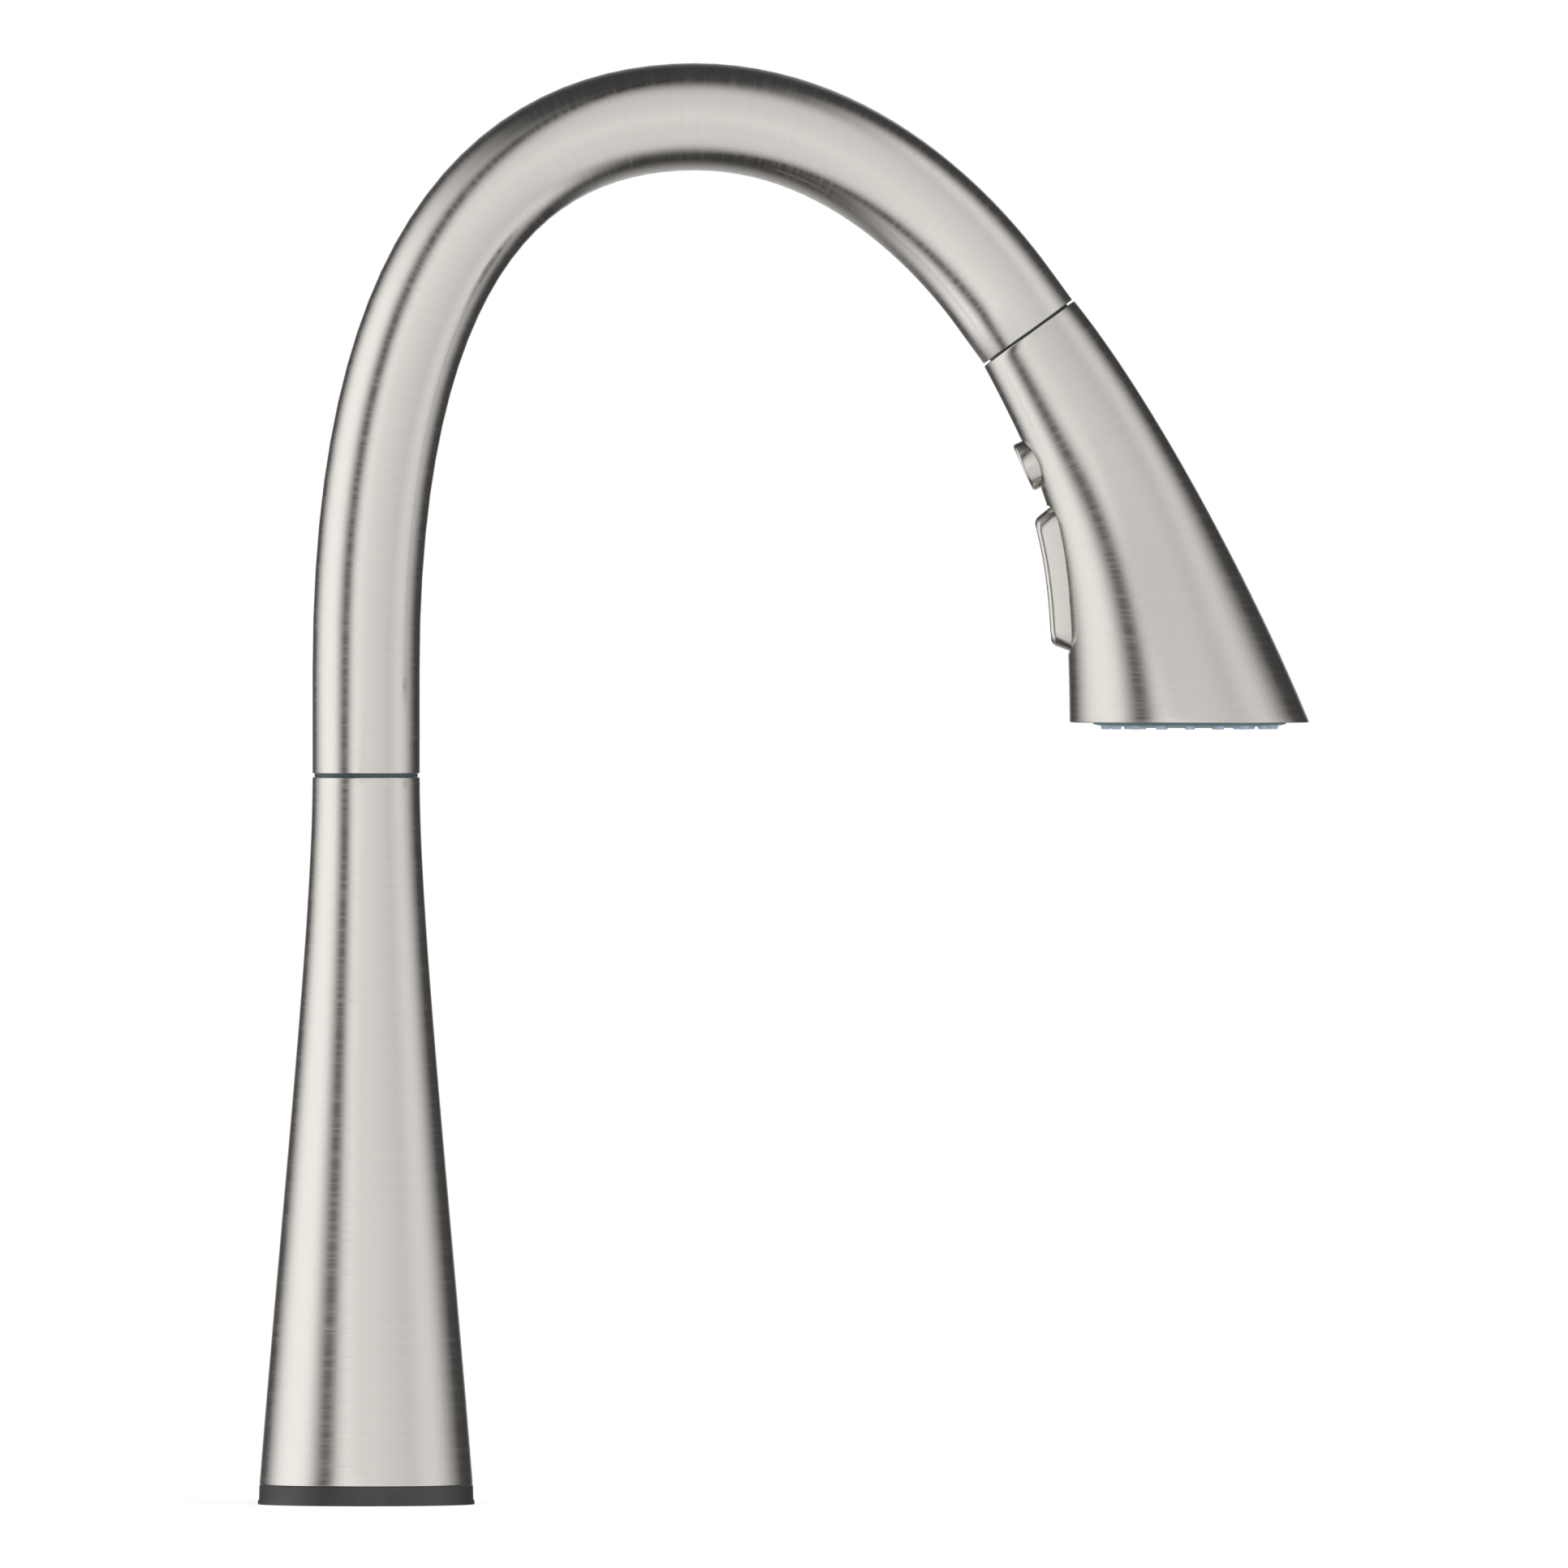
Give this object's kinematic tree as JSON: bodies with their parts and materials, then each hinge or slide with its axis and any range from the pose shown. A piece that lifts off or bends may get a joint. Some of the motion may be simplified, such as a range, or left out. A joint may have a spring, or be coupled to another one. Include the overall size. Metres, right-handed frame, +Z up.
{
  "type": "pull-down kitchen faucet",
  "caption": "High-arc kitchen faucet with a pull-down spray head, swivelling spout, side lever, sprayer buttons and deck clamp.",
  "frame": {"origin": "middle of the base ring's underside, on the deck's top surface", "axes": "+Z up along the body, +X the way the spout reaches, +Y towards the lever's side"},
  "size_m": [0.2889, 0.0865, 0.4579],
  "materials": {
    "brushed_nickel": "brushed nickel",
    "black_zinc": "satin black",
    "black_rubber": "matte",
    "brass": "machined",
    "steel": "stainless steel",
    "dark_magnet": "ferrite magnet",
    "white_acetal": "moulded",
    "alumina": "ground ceramic",
    "grey_braid": "braided nylon hose",
    "teal_plastic": "moulded",
    "pale_blue_silicone": "moulded silicone",
    "index_red": "moulded"
  },
  "bodies": {
    "faucet_base": {"base_ring": "black_zinc", "deck_gasket": "black_rubber", "body_shell": "brushed_nickel", "base_insert": "brass", "upper_swivel_bush": "white_acetal", "lower_swivel_bush": "white_acetal", "threaded_shank": "brass", "deck_rubber_washer": "black_rubber", "deck_steel_washer": "steel", "mounting_nut": "brass", "left_jack_screw": "steel", "right_jack_screw": "steel", "valve_body": "brass", "hot_inlet": "brass", "cold_inlet": "brass", "mixed_outlet": "brass", "cartridge_case": "white_acetal", "fixed_ceramic_disc": "alumina", "cartridge_nut": "brass", "valve_collar": "brushed_nickel", "valve_cover": "brushed_nickel"},
    "temperature_carrier": {"moving_ceramic_disc": "alumina", "stem_carrier": "white_acetal", "stem_pin": "steel"},
    "handle": {"valve_stem": "brass", "handle_hub": "brushed_nickel", "handle_set_screw": "steel", "index_plug": "index_red", "lever": "brushed_nickel", "lever_stud": "steel"},
    "spout": {"spout_tube": "brushed_nickel", "spray_hose": "grey_braid", "swivel_sleeve": "brass", "swivel_clip": "steel", "lower_swivel_o_ring": "black_rubber", "upper_swivel_o_ring": "black_rubber", "spout_glide_ring": "teal_plastic", "dock_liner": "teal_plastic", "dock_magnet": "dark_magnet"},
    "hose_end": {"hose_ferrule": "steel", "hose_nut": "brass"},
    "spray_head": {"head_shell": "brushed_nickel", "head_collar": "teal_plastic", "collar_o_ring": "black_rubber", "catch_ring": "steel", "check_valve": "white_acetal", "water_core": "white_acetal", "diverter_spool": "white_acetal", "flow_plate": "white_acetal", "nozzle_mat": "pale_blue_silicone", "spray_face": "teal_plastic", "aerator": "pale_blue_silicone", "button_spring": "steel", "rocker_pin": "steel", "rocker_bracket": "white_acetal"},
    "stream_switch": {"stream_button": "brushed_nickel"},
    "spray_switch": {"spray_rocker": "brushed_nickel"}
  },
  "joints": [
    {"name": "temperature_turn", "type": "hinge", "parent": "faucet_base", "child": "temperature_carrier", "pos_m": [0, 0.03295, 0.078], "axis": [0, 1, 0], "range_deg": [-45, 45]},
    {"name": "flow_lift", "type": "hinge", "parent": "temperature_carrier", "child": "handle", "pos_m": [0, 0.03295, 0.078], "axis": [-1, 0, 0], "range_deg": [0, 24]},
    {"name": "spout_swivel", "type": "hinge", "parent": "faucet_base", "child": "spout", "pos_m": [0, 0, 0.1998], "axis": [0, 0, 1], "range_deg": [-180, 180]},
    {"name": "head_pull", "type": "slide", "parent": "spout", "child": "hose_end", "axis": [0.5878, 0, -0.809], "range_m": [0, 0.45], "stiffness_N_per_m": 10, "springref_m": -0.8},
    {"name": "head_spin", "type": "hinge", "parent": "hose_end", "child": "spray_head", "pos_m": [0.182, 0, 0.3219], "axis": [0.5878, 0, -0.809], "range_deg": [-180, 180]},
    {"name": "stream_press", "type": "slide", "parent": "spray_head", "child": "stream_switch", "axis": [0.9091, 0, 0.4166], "range_m": [0, 0.002], "stiffness_N_per_m": 400, "springref_m": -0.002, "deforming": ["button_spring"]},
    {"name": "spray_rock", "type": "hinge", "parent": "spray_head", "child": "spray_switch", "pos_m": [0.1993, 0, 0.25527], "axis": [0, 1, 0], "range_deg": [-3.5, 3.5]}
  ]
}
